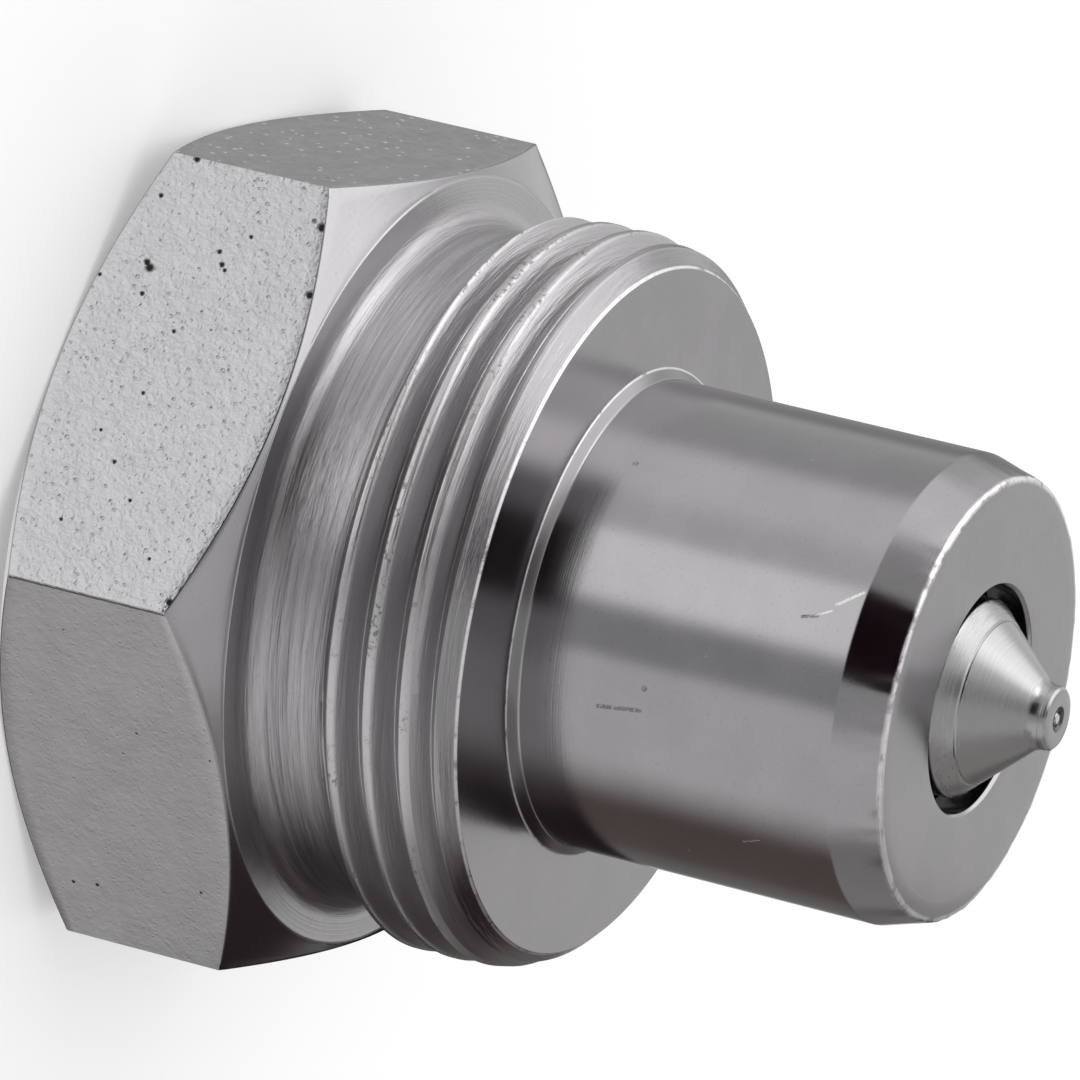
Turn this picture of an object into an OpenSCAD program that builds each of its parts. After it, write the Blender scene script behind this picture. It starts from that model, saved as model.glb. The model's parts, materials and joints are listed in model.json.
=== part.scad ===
// Male half of a screw-to-connect hydraulic quick coupler, in millimetres.
// The part stands on the rear face of its hexagon, with the nose pointing up along +Z.

/* [Hexagon] */
// Width across the flats of the hexagon
hex_af = 31.75; // [31:0.25:34]
// Length of the hexagon along the axis
hex_len = 10; // [9:0.5:14]
// Diameter of the round end faces that the corner chamfers leave
hex_face_d = 31.4; // [30:0.1:31.6]
// Angle of the corner chamfers to the end faces
hex_chamfer_angle = 30; // [15:5:45]

/* [Neck] */
// Diameter of the turned neck behind the thread
neck_d = 27.6; // [26:0.1:27.8]
// Length of the neck from the hexagon to the thread
neck_len = 3.5; // [2:0.1:5]
// Fillet where the neck meets the hexagon
neck_fillet = 0.4; // [0.2:0.1:0.8]
// Length of the cone that rises from the neck to the thread
thread_lead_len = 0.5; // [0.3:0.1:1]

/* [Outer thread] */
// Diameter over the crests
thread_d = 29.85; // [29.2:0.05:30.5]
// Pitch, 16 threads to the inch
thread_pitch = 1.5875; // [1.5:0.0125:2]
// Depth of the thread from crest to root
thread_depth = 0.95; // [0.7:0.05:0.95]
// Width of the flat at the root
root_flat = 0.16; // [0.1:0.02:0.2]
// Width of the rounded shoulder on each side of a crest
crest_round = 0.1; // [0.05:0.01:0.12]
// Included angle of the flanks
flank_angle = 60; // [50:5:60]
// Length from the front of the hexagon to the collar face
collar_len = 9.3; // [8.5:0.1:12]
// Diameter of the collar face inside its chamfer
collar_face_d = 27.76; // [27:0.02:27.8]
// Length of the steep chamfer at the collar face
collar_chamfer_len = 0.7; // [0.5:0.1:1]
// Length of the slight taper behind the chamfer
collar_taper_len = 1.5; // [0.8:0.1:2]
// Radius that the slight taper takes off the crests
collar_taper_drop = 0.32; // [0.1:0.02:0.4]

/* [Nose] */
// Diameter of the nose
nose_d = 19; // [18:0.1:20]
// Length of the nose beyond the collar face
nose_len = 15.75; // [14:0.25:20]
// Fillet at the root of the nose
nose_fillet = 0.25; // [0.15:0.05:0.5]
// Length of the lead-in cone
lead_in_len = 2; // [1:0.1:3]
// Diameter of the flat front face
front_face_d = 17.8; // [16.6:0.1:18]

/* [Valve bore] */
// Diameter of the mouth in the front face
mouth_d = 9.15; // [9:0.05:9.6]
// Length of the straight mouth
mouth_len = 1.6; // [1:0.1:2]
// Edge break at the mouth
mouth_break = 0.12; // [0.05:0.01:0.2]
// Diameter of the valve chamber behind the seat
chamber_d = 12.8; // [12.6:0.1:13.4]
// Angle of the seat to the axis
seat_angle = 45; // [40:5:50]

/* [Rear port] */
// Bore of the rear port, the tapping size of its pipe thread
port_d = 14.7; // [14.6:0.1:15.2]
// Depth of the port
port_depth = 12.5; // [11:0.5:13]
// Diameter of the countersink at the rear face
port_mouth_d = 17.4; // [16.6:0.1:18]

/* [Poppet] */
// Diameter of the pin where it stands in the mouth
pin_d = 8; // [7.6:0.1:8.2]
// How far the straight pin ends behind the front face
pin_recess = 0.1; // [0:0.05:0.3]
// Length of the bevel from the pin to the step line
bevel_len = 0.55; // [0.3:0.05:0.8]
// Diameter at the step line
step_d = 6.6; // [6:0.1:7]
// Angle of the cone to the axis
cone_angle = 41; // [34:1:46]
// Diameter of the tip
tip_d = 2.6; // [2.2:0.1:3]
// Length of the straight tip beyond the hollow
tip_len = 0.3; // [0.3:0.05:0.8]
// Radius of the hollow between the cone and the tip
tip_hollow_r = 0.8; // [0.4:0.1:1.4]
// Edge radius of the tip
tip_edge_r = 0.15; // [0.1:0.05:0.25]
// Diameter of the turning centre in the tip
tip_centre_d = 0.9; // [0.5:0.1:1]
// Depth of the turning centre
tip_centre_depth = 0.2; // [0.1:0.05:0.3]
// Diameter of the sealing head
head_d = 11.4; // [11:0.1:11.8]
// Length of the straight part of the head
head_len = 2.2; // [1.8:0.1:3]
// Diameter of the spigot that centres the spring
spigot_d = 6.6; // [6:0.1:6.8]
// Length of the spigot
spigot_len = 1.6; // [1:0.1:2.5]
// Diameter of the stem
stem_d = 3.5; // [3:0.1:3.8]
// How far the stem reaches below the guide
stem_overhang = 0.7; // [0.4:0.1:1.5]
// Diameter of the stem's shoulder, which stops the open poppet on the guide
stop_d = 4.8; // [4.4:0.1:5.4]
// Travel of the poppet from shut to open
poppet_travel = 3.2; // [2.5:0.1:3.3]
// Gap that is left between the shoulder and the guide at full travel
stop_gap = 0.1; // [0.05:0.05:0.3]
// Gap that is left between the head and the seat
seat_gap = 0.15; // [0.1:0.01:0.25]

/* [Seal] */
// Thickness of the O-ring
seal_section = 1.1; // [0.9:0.05:1.2]
// Thickness of the backup ring
backup_thickness = 0.5; // [0.4:0.05:0.6]
// Gap around the seals in their groove
seal_gap = 0.04; // [0.02:0.01:0.08]

/* [Spring] */
// Wire diameter
wire_d = 0.9; // [0.7:0.05:1]
// Number of turns
spring_turns = 6; // [4:1:7]
// Gap between the spring and the pieces it stands on
spring_gap = 0.1; // [0.05:0.01:0.2]

/* [Guide] */
// Height of the guide
guide_len = 3; // [2.5:0.1:4]
// Width of the guide's outer rim
guide_rim = 1.05; // [0.8:0.05:1.3]
// Diameter of the guide's hub
guide_hub_d = 5.8; // [5.4:0.1:6.2]
// Width of each leg
guide_leg_w = 2.2; // [1.6:0.1:2.6]
// Number of legs
guide_legs = 3; // [3:1:4]
// Gap between the guide and the chamber
guide_fit = 0.05; // [0.02:0.01:0.1]
// Gap between the stem and the guide
stem_fit = 0.05; // [0.03:0.01:0.08]

/* [Retaining ring] */
// Thickness of the ring
ring_thickness = 1; // [0.8:0.05:1.2]
// Depth of its groove beyond the chamber wall
ring_groove_depth = 0.6; // [0.4:0.05:0.8]
// Width of the ring's band
ring_band = 1.4; // [1.2:0.1:1.8]
// Opening between the ring's ends, in degrees
ring_opening = 50; // [30:5:70]
// Diameter of the plier holes
ring_hole_d = 1; // [0.8:0.1:1.2]
// Gap around the ring in its groove
ring_gap = 0.05; // [0.03:0.01:0.1]
// Length of chamber between the port and the ring's groove
ring_setback = 0.8; // [0.5:0.1:1.5]

/* [Smoothness] */
// Segments in a full circle
circle_steps = 96; // [64:16:128]
// Segments in each turn of the outer thread
thread_steps = 36; // [24:4:48]
// Segments in each turn of the spring
spring_steps = 16; // [12:4:24]

/* [Hidden] */
$fn = circle_steps;
// A little length by which a cutter passes the face that it cuts
pass = 0.2;
arc_steps = 6;

hex_r = hex_af / sqrt(3);
hex_chamfer_drop = (hex_r - hex_face_d / 2) * tan(hex_chamfer_angle);
hex_front_z = hex_len;
thread_start_z = hex_front_z + neck_len;
collar_z = hex_front_z + collar_len;
nose_z = collar_z + nose_len;
seat_top_z = nose_z - mouth_len;
seat_z = seat_top_z - (chamber_d - mouth_d) / 2 / tan(seat_angle);
ring_groove_z = port_depth + ring_setback;
ring_groove_h = ring_thickness + 2 * ring_gap;
guide_z = ring_groove_z + ring_gap + ring_thickness + ring_gap;
guide_top_z = guide_z + guide_len;

// Height at which the seat cone, moved in by the gap, has a given radius
gap_drop = seat_gap / sin(seat_angle);
function head_cone_z(r) = seat_top_z - gap_drop - (r - mouth_d / 2) / tan(seat_angle);
head_top_z = head_cone_z(pin_d / 2);
head_edge_z = head_cone_z(head_d / 2);
head_base_z = head_edge_z - head_len;
stem_end_z = guide_z - stem_overhang;
stop_z = guide_top_z + poppet_travel + stop_gap;
step_z = nose_z - pin_recess + bevel_len;
// The cone runs into a hollow, and the hollow into the straight tip
cone_end_r = tip_d / 2 + tip_hollow_r * (1 - cos(cone_angle));
cone_end_z = step_z + (step_d / 2 - cone_end_r) / tan(cone_angle);
hollow_z = cone_end_z + tip_hollow_r * sin(cone_angle);
tip_z = hollow_z + tip_len;
// Groove of the seal, measured along the head's cone and square to it
seal_groove_w = seal_section + backup_thickness + 3 * seal_gap;
seal_groove_deep = seal_section + seal_gap - seat_gap / 3;
seal_groove_start = ((head_d - pin_d) / 2 / sin(seat_angle) - seal_groove_w) / 2;

// Spring between the guide and the head
spring_r = spigot_d / 2 + spring_gap + wire_d / 2;
spring_low_z = guide_top_z + spring_gap + wire_d / 2;
spring_high_z = head_base_z - spring_gap - wire_d / 2;
closed_turns = 1;
closed_pitch = wire_d * 1.03;
spring_sides = 8;

// Thread groove: its section is measured from the crest inwards
thread_r = thread_d / 2;
root_r = thread_r - thread_depth;
shoulder_slope = 1.2;
groove_shoulder_w = root_flat / 2 + (thread_depth - crest_round) * tan(flank_angle / 2);
groove_crest_w = groove_shoulder_w + crest_round * shoulder_slope;
groove_over = 0.05;
groove_setback = 0.38;
groove_first_z = thread_start_z - groove_setback;
groove_low_z = thread_start_z - thread_pitch * 0.6;
groove_high_z = collar_z + thread_pitch * 0.6;

steel = [0.72, 0.72, 0.73];
bright_steel = [0.8, 0.8, 0.81];
spring_steel = [0.55, 0.56, 0.58];
dark_steel = [0.3, 0.3, 0.32];
nitrile = [0.08, 0.08, 0.08];
ptfe = [0.92, 0.91, 0.88];

// Points of an arc about a centre, from one angle to another
function arc(centre, r, from, to) =
    [for (i = [0 : arc_steps]) let (a = from + (to - from) * i / arc_steps)
        centre + r * [cos(a), sin(a)]];

// Faces of a solid swept through rings that all have the same number of points
function swept_faces(rings, sides) = concat(
    [[for (k = [0 : sides - 1]) k]],
    [for (i = [0 : rings - 2]) for (k = [0 : sides - 1]) let (n = (k + 1) % sides)
        [i * sides + k, (i + 1) * sides + k, (i + 1) * sides + n, i * sides + n]],
    [[for (k = [sides - 1 : -1 : 0]) (rings - 1) * sides + k]]);

// A section point, given as radius and height, turned about the axis
function turned(p, angle) = [p[0] * cos(angle), p[0] * sin(angle), p[1]];

module hexagon() {
    intersection() {
        linear_extrude(hex_len) circle(r = hex_r, $fn = 6);
        rotate_extrude() polygon([
            [0, 0],
            [hex_face_d / 2, 0],
            [hex_r, hex_chamfer_drop],
            [hex_r, hex_len - hex_chamfer_drop],
            [hex_face_d / 2, hex_len],
            [0, hex_len]]);
    }
}

// Neck, thread blank, collar face and nose in one turned outline
module turned_front() {
    neck_r = neck_d / 2;
    nose_r = nose_d / 2;
    root_z = hex_front_z - pass;
    rotate_extrude() polygon(concat(
        [[0, root_z], [neck_r + neck_fillet, root_z]],
        arc([neck_r + neck_fillet, hex_front_z + neck_fillet], neck_fillet, 270, 180),
        [[neck_r, thread_start_z],
            [thread_r, thread_start_z + thread_lead_len],
            [thread_r, collar_z - collar_chamfer_len - collar_taper_len],
            [thread_r - collar_taper_drop, collar_z - collar_chamfer_len],
            [collar_face_d / 2, collar_z]],
        arc([nose_r + nose_fillet, collar_z + nose_fillet], nose_fillet, 270, 180),
        [[nose_r, nose_z - lead_in_len],
            [front_face_d / 2, nose_z],
            [0, nose_z]]));
}

// Right-hand groove that is cut round the thread blank
module thread_groove() {
    over_r = (thread_r + groove_over) / cos(180 / thread_steps);
    over_w = groove_crest_w + groove_over * shoulder_slope;
    section = [
        [over_r, over_w],
        [over_r, -over_w],
        [thread_r - crest_round, -groove_shoulder_w],
        [root_r, -root_flat / 2],
        [root_r, root_flat / 2],
        [thread_r - crest_round, groove_shoulder_w]];
    rise = thread_pitch / thread_steps;
    rings = ceil((groove_high_z - groove_low_z) / rise) + 1;
    points = [for (i = [0 : rings - 1]) let (z = groove_low_z + i * rise)
        for (p = section) turned([p[0], p[1] + z], 360 * (z - groove_first_z) / thread_pitch)];
    polyhedron(points, swept_faces(rings, len(section)));
}

// Port, valve chamber, seat and mouth as one turned hollow
module bore() {
    port_r = port_d / 2;
    chamber_r = chamber_d / 2;
    mouth_r = mouth_d / 2;
    port_mouth_r = port_mouth_d / 2;
    rotate_extrude() polygon([
        [0, -pass],
        [port_mouth_r + pass, -pass],
        [port_r, port_mouth_r - port_r],
        [port_r, port_depth - (port_r - chamber_r)],
        [chamber_r, port_depth],
        [chamber_r, seat_z],
        [mouth_r, seat_top_z],
        [mouth_r, nose_z - mouth_break],
        [mouth_r + mouth_break + pass, nose_z + pass],
        [0, nose_z + pass]]);
}

module ring_groove() {
    translate([0, 0, ring_groove_z])
        cylinder(r = chamber_d / 2 + ring_groove_depth, h = ring_groove_h);
}

module body() {
    color(steel) difference() {
        union() {
            hexagon();
            turned_front();
        }
        thread_groove();
        bore();
        ring_groove();
    }
}

// Moves a drawing onto the head's cone: x runs down the cone and y points out of it
module on_head_cone() {
    translate([pin_d / 2, head_top_z]) rotate(seat_angle - 90) children();
}

module poppet_outline() {
    pin_r = pin_d / 2;
    head_r = head_d / 2;
    stem_r = stem_d / 2;
    tip_r = tip_d / 2;
    polygon(concat(
        [[0, stem_end_z],
            [stem_r, stem_end_z],
            [stem_r, stop_z],
            [stop_d / 2, stop_z],
            [stop_d / 2, head_base_z - spigot_len],
            [spigot_d / 2, head_base_z - spigot_len],
            [spigot_d / 2, head_base_z],
            [head_r, head_base_z],
            [head_r, head_edge_z],
            [pin_r, head_top_z],
            [pin_r, nose_z - pin_recess],
            [step_d / 2, step_z]],
        arc([tip_r + tip_hollow_r, hollow_z], tip_hollow_r, 180 + cone_angle, 180),
        arc([tip_r - tip_edge_r, tip_z - tip_edge_r], tip_edge_r, 0, 90),
        [[tip_centre_d / 2, tip_z], [0, tip_z - tip_centre_depth]]));
}

module poppet() {
    color(bright_steel) rotate_extrude() difference() {
        poppet_outline();
        on_head_cone() translate([seal_groove_start, -seal_groove_deep])
            square([seal_groove_w, seal_groove_deep + pass]);
    }
}

module poppet_seal() {
    color(nitrile) rotate_extrude() on_head_cone()
        translate([seal_groove_start + backup_thickness + 2 * seal_gap + seal_section / 2,
            seal_gap + seal_section / 2 - seal_groove_deep])
            circle(d = seal_section);
}

module seal_backup_ring() {
    color(ptfe) rotate_extrude() on_head_cone()
        translate([seal_groove_start + seal_gap, seal_gap - seal_groove_deep])
            square([backup_thickness, seal_groove_deep - 2 * seal_gap]);
}

// Height of the wire's centre after a number of turns, with a closed turn at each end
function wire_z(turn) =
    let (open_turns = spring_turns - 2 * closed_turns,
        closed_rise = closed_turns * closed_pitch,
        open_pitch = (spring_high_z - spring_low_z - 2 * closed_rise) / open_turns)
    turn < closed_turns ? spring_low_z + turn * closed_pitch
        : turn > spring_turns - closed_turns ? spring_high_z - (spring_turns - turn) * closed_pitch
        : spring_low_z + closed_rise + (turn - closed_turns) * open_pitch;

module return_spring() {
    rings = spring_turns * spring_steps + 1;
    points = [for (i = [0 : rings - 1]) for (k = [0 : spring_sides - 1])
        let (turn = i / spring_steps, a = -360 * (k + 0.5) / spring_sides)
            turned([spring_r + wire_d / 2 * cos(a), wire_z(turn) + wire_d / 2 * sin(a)],
                360 * turn)];
    color(spring_steel) polyhedron(points, swept_faces(rings, spring_sides));
}

module valve_guide() {
    rim_r = chamber_d / 2 - guide_fit;
    color(bright_steel) translate([0, 0, guide_z]) difference() {
        union() {
            difference() {
                cylinder(r = rim_r, h = guide_len);
                translate([0, 0, -pass]) cylinder(r = rim_r - guide_rim, h = guide_len + 2 * pass);
            }
            cylinder(d = guide_hub_d, h = guide_len);
            for (i = [0 : guide_legs - 1]) rotate(i * 360 / guide_legs)
                translate([0, -guide_leg_w / 2, 0])
                    cube([rim_r - guide_rim / 2, guide_leg_w, guide_len]);
        }
        translate([0, 0, -pass]) cylinder(r = stem_d / 2 + stem_fit, h = guide_len + 2 * pass);
    }
}

module retaining_ring() {
    ring_r = chamber_d / 2 + ring_groove_depth - ring_gap;
    lug_r = ring_hole_d / 2 + ring_band / 2;
    lug_at = ring_r - lug_r - ring_gap;
    lug_angle = ring_opening / 2 + asin(lug_r / lug_at);
    reach = 2 * ring_r;
    color(dark_steel) translate([0, 0, ring_groove_z + ring_gap]) linear_extrude(ring_thickness)
        difference() {
            union() {
                difference() {
                    circle(r = ring_r);
                    circle(r = ring_r - ring_band);
                }
                for (side = [-1, 1]) rotate(side * lug_angle) translate([lug_at, 0])
                    circle(r = lug_r);
            }
            polygon([[0, 0],
                reach * [cos(ring_opening / 2), -sin(ring_opening / 2)],
                reach * [cos(ring_opening / 2), sin(ring_opening / 2)]]);
            for (side = [-1, 1]) rotate(side * lug_angle) translate([lug_at, 0])
                circle(d = ring_hole_d);
        }
}

body();
poppet();
poppet_seal();
seal_backup_ring();
return_spring();
valve_guide();
retaining_ring();
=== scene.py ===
# %% [markdown]
# # Male half of a screw-to-connect hydraulic coupler
# The real part is turned from hexagon bar or a forging, plated, and fitted with a spring-loaded
# poppet valve. It has a hexagon for the wrench, a coarse thread that the sleeve of the other half
# pulls on, and a smooth nose that seals in the other half. The CAD model gives every size and
# place. This script adds what only a render shows: a finer thread, eased edges, tool marks,
# pitted flats, wear, and the light of a small studio.

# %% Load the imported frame
import json
import math

import bmesh
import bpy
from mathutils import Matrix, Quaternion, Vector

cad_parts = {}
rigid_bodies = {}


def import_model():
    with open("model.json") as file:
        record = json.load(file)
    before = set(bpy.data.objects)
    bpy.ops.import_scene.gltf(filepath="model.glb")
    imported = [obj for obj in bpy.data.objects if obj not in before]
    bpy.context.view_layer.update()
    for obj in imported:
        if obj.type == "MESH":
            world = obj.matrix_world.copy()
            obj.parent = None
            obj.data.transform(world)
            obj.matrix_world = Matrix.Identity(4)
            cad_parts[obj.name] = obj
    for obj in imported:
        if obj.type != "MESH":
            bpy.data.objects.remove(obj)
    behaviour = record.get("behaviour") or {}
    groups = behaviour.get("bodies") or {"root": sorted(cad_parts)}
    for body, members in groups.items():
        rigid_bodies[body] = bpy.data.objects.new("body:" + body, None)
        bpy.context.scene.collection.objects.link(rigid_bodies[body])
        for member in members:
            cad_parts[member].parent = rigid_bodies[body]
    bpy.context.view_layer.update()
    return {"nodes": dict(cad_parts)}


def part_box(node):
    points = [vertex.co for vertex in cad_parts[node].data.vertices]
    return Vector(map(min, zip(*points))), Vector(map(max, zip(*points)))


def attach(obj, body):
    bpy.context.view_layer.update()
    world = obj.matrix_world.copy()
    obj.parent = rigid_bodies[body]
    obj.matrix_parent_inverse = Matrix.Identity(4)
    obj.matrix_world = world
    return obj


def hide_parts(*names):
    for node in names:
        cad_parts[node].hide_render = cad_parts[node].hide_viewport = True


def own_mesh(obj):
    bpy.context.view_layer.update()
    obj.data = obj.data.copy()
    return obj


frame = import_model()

MM = 0.001

# %% [markdown]
# ## Sizes
# Every number below is a size of the real part in millimetres, as the CAD source has it. The
# origin is the centre of the hexagon's rear face, +Z runs along the axis to the nose, and +X goes
# through a corner of the hexagon. Where a size has to agree with the frame, it is measured from
# the frame, so that a new pack can't leave the render behind.

# %% Sizes of the turned body
low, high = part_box("body")
apothem = (high[1] - low[1]) / 2 / MM
nose_z = high[2] / MM
hex_len = 10
hex_face_r = 15.7
hex_slope = math.tan(math.radians(30))
neck_r, thread_low_z, thread_full_z = 13.8, 13.4, 14.0
neck_top_z, run_out_turn, neck_foot = 12.75, 26, 0.9
run_out_r = (thread_low_z - neck_top_z) / math.sin(math.radians(run_out_turn))
neck_top_r = neck_r + run_out_r * (1 - math.cos(math.radians(run_out_turn)))
crest_r, thread_depth, pitch = 14.925, 0.95, 1.5875
root_r = crest_r - thread_depth
groove_first_z = 13.12
taper_z, chamfer_z, collar_z = 17.1, 18.6, 19.3
taper_r, collar_face_r = crest_r - 0.32, 13.88
nose_r, lead_in_z, front_r = 9.5, nose_z - 2, 8.9
corner_size = 0.38
print(f"apothem {apothem:.3f} mm, nose face at {nose_z:.3f} mm")

# %% [markdown]
# ## Turning an outline
# Nearly everything here was made on a lathe, so the main tool is a spin: an outline of radius and
# height points is drawn in the XZ plane and turned round the Z axis. Real edges are never
# perfectly sharp. Each outline point may carry an ease, the distance over which its corner is
# rounded, and the rounding is worked into the outline before it is spun, which costs far less
# than a bevel on the finished mesh.


# %% Outlines with eased corners
def eased(outline, rounds=3):
    """Round each corner of an outline of (radius, height) or (radius, height, ease) points."""
    points = []
    for index, point in enumerate(outline):
        corner = Vector(point[:2])
        if len(point) == 2 or index in (0, len(outline) - 1):
            points.append(corner)
            continue
        before = (Vector(outline[index - 1][:2]) - corner).normalized() * point[2]
        after = (Vector(outline[index + 1][:2]) - corner).normalized() * point[2]
        for step in range(rounds + 1):
            t = step / rounds
            points.append(corner + before * (1 - t) ** 2 + after * t ** 2)
    return points


def run(start, end, count):
    """Points from start up to, but without, end, so that a long wall gets enough rings."""
    start, end = Vector(start), Vector(end)
    return [tuple(start.lerp(end, step / count)) for step in range(count)]


def spin_outline(points, steps, lift=0):
    """Draw an outline in the XZ plane and turn it once round the Z axis, climbing by lift.

    A sixth of a turn is spun and then copied round, which is much quicker than a whole spin.
    """
    bm = bmesh.new()
    verts = [bm.verts.new((point[0] * MM, 0, point[1] * MM)) for point in points]
    edges = [bm.edges.new(pair) for pair in zip(verts, verts[1:])]
    bmesh.ops.spin(bm, geom=verts + edges, cent=(0, 0, 0), axis=(0, 0, 1), angle=math.pi / 3,
                   steps=steps // 6, dvec=(0, 0, lift * MM / steps), use_merge=False)
    first = bm.verts[:] + bm.edges[:] + bm.faces[:]
    for part in range(1, 6):
        copy = bmesh.ops.duplicate(bm, geom=first)["geom"]
        copied = [item for item in copy if isinstance(item, bmesh.types.BMVert)]
        bmesh.ops.rotate(bm, verts=copied, cent=(0, 0, 0),
                         matrix=Matrix.Rotation(part * math.pi / 3, 3, "Z"))
        bmesh.ops.translate(bm, verts=copied, vec=(0, 0, lift * MM * part / 6))
    bmesh.ops.remove_doubles(bm, verts=bm.verts, dist=0.0005 * MM)
    return bm


def join(bm, part):
    """Add another bmesh to this one."""
    mesh = bpy.data.meshes.new("joined_part")
    part.to_mesh(mesh)
    part.free()
    bm.from_mesh(mesh)
    bpy.data.meshes.remove(mesh)


def open_edges(bm):
    return sum(1 for edge in bm.edges if not edge.is_manifold)


def finish_piece(bm, name, materials, sharp=30):
    """Turn a bmesh into an object at the origin, smooth but for edges above the sharp angle."""
    bmesh.ops.recalc_face_normals(bm, faces=bm.faces)
    mesh = bpy.data.meshes.new(name)
    bm.to_mesh(mesh)
    bm.free()
    for polygon in mesh.polygons:
        polygon.use_smooth = True
    mesh.set_sharp_from_angle(angle=math.radians(sharp))
    for material in materials:
        mesh.materials.append(material)
    piece = bpy.data.objects.new(name, mesh)
    bpy.context.scene.collection.objects.link(piece)
    mesh.calc_loop_triangles()
    print(f"{name}: {len(mesh.loop_triangles)} triangles")
    return piece


# %% [markdown]
# ## Shader maths
# A material is easier to read as a formula than as a picture of boxes. The class Value wraps one
# socket, and adding or multiplying two of them adds the Math node. Every other node comes from
# the one method Finish.add, which takes the node's type, its settings and what its sockets get.


# %% Sockets as Python values
class Value:
    """One output socket of a finish, used in plain expressions."""

    def __init__(self, finish, socket):
        self.finish, self.socket = finish, socket

    def maths(self, operation, *values, clamp=False):
        settings = {"operation": operation, "use_clamp": clamp}
        return self.finish.add("ShaderNodeMath", settings, dict(enumerate(values)))

    def __add__(self, other):
        return self.maths("ADD", self, other)

    def __sub__(self, other):
        return self.maths("SUBTRACT", self, other)

    def __rsub__(self, other):
        return self.maths("SUBTRACT", other, self)

    def __mul__(self, other):
        return self.maths("MULTIPLY", self, other)

    def __truediv__(self, other):
        return self.maths("DIVIDE", self, other)

    def __pow__(self, other):
        return self.maths("POWER", self, other)

    __radd__, __rmul__ = __add__, __mul__

    def least(self, other):
        return self.maths("MINIMUM", self, other)

    def greatest(self, other):
        return self.maths("MAXIMUM", self, other)

    def rise(self, start, end):
        """0 below start, 1 above end, smooth between them."""
        ranges = {"interpolation_type": "SMOOTHSTEP"}
        return self.finish.add("ShaderNodeMapRange", ranges, {0: self, 1: start, 2: end})


class NodeBook:
    """The one place that adds nodes to a tree."""

    def __init__(self, tree):
        self.tree = tree

    def feed(self, socket, value):
        if isinstance(value, Value):
            self.tree.links.new(value.socket, socket)
        elif socket.type == "RGBA" and len(value) == 3:
            socket.default_value = (*value, 1)
        else:
            socket.default_value = value

    def add(self, kind, settings=None, sockets=None, out=0):
        """Add a node: its settings first, then the values or links of its sockets."""
        node = self.tree.nodes.new(kind)
        for key, value in (settings or {}).items():
            setattr(node, key, value)
        for key, value in (sockets or {}).items():
            self.feed(node.inputs[key], value)
        return Value(self, node.outputs[out])

    def mix(self, factor, first, second):
        """A colour between two, through a Mix node."""
        colours = {0: factor, 6: first, 7: second}
        return self.add("ShaderNodeMix", {"data_type": "RGBA"}, colours, 2)

    def noise(self, place, scale, detail=2, roughness=0.5):
        sockets = {"Vector": place, "Scale": scale, "Detail": detail, "Roughness": roughness}
        return self.add("ShaderNodeTexNoise", None, sockets)


class Finish(NodeBook):
    """A material with one Principled shader."""

    def __init__(self, name, **constants):
        self.material = bpy.data.materials.new(name)
        self.material.use_nodes = True
        super().__init__(self.material.node_tree)
        self.shader = self.tree.nodes["Principled BSDF"]
        for socket, value in constants.items():
            self.feed(self.shader.inputs[socket.replace("_", " ")], value)

    def bump(self, height, distance):
        """Height in units of distance, which is in metres."""
        return self.add("ShaderNodeBump", None,
                        {"Strength": 1, "Distance": distance, "Height": height})

    def done(self, **links):
        for socket, value in links.items():
            self.feed(self.shader.inputs[socket.replace("_", " ")], value)
        return self.material


# %% [markdown]
# ## Coordinates
# Each pattern is laid out in the part's own coordinates, in millimetres, so that its scale can be
# read as so many features a millimetre. A turned part also needs the distance from its axis.


# %% Coordinates that follow a turned part
def millimetres(finish):
    """Object coordinates in millimetres."""
    object_output = 3
    place = finish.add("ShaderNodeTexCoord", None, None, object_output)
    return finish.add("ShaderNodeVectorMath", {"operation": "SCALE"},
                      {0: place, "Scale": 1 / MM})


def turned_places(finish):
    """The place, its x, y and height z, and its distance from the axis, all in millimetres."""
    place = millimetres(finish)
    x = finish.add("ShaderNodeSeparateXYZ", None, {0: place}, 0)
    y = Value(finish, x.socket.node.outputs[1])
    z = Value(finish, x.socket.node.outputs[2])
    radius = (x * x + y * y) ** 0.5
    return place, x, y, z, radius


# %% [markdown]
# ## Plated, turned steel
# The turned faces carry fine rings from the tool, softened by the plating. They are a noise on the
# outline alone, radius and height, so they run round the axis on cylinders and as circles on flat
# faces. A slower noise varies the gloss, as handling does. The marks that the photograph shows one
# by one are listed. Their angles count from the side that faces the camera.


# %% Marks at a given place
CAMERA_SIDE = 46.6


def at_angle(radius, angle, z):
    """A point in millimetres from its radius, its angle from the camera's side, and its height."""
    turned = math.radians(angle + CAMERA_SIDE)
    return radius * math.cos(turned), radius * math.sin(turned), z


def spots(finish, place, points):
    """1 inside any of some small balls, given as (centre, radius), and 0 outside them."""
    total = 0
    for centre, size in points:
        away = finish.add("ShaderNodeVectorMath", {"operation": "DISTANCE"},
                          {0: place, 1: centre}, 1)
        total = total + (1 - away.rise(size * 0.4, size))
    return total.least(1)


def near(value, middle, width):
    """1 at a value, falling to 0 at width from it."""
    away = value - middle
    return 1 - away.maths("ABSOLUTE", away).rise(width * 0.3, width)


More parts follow.
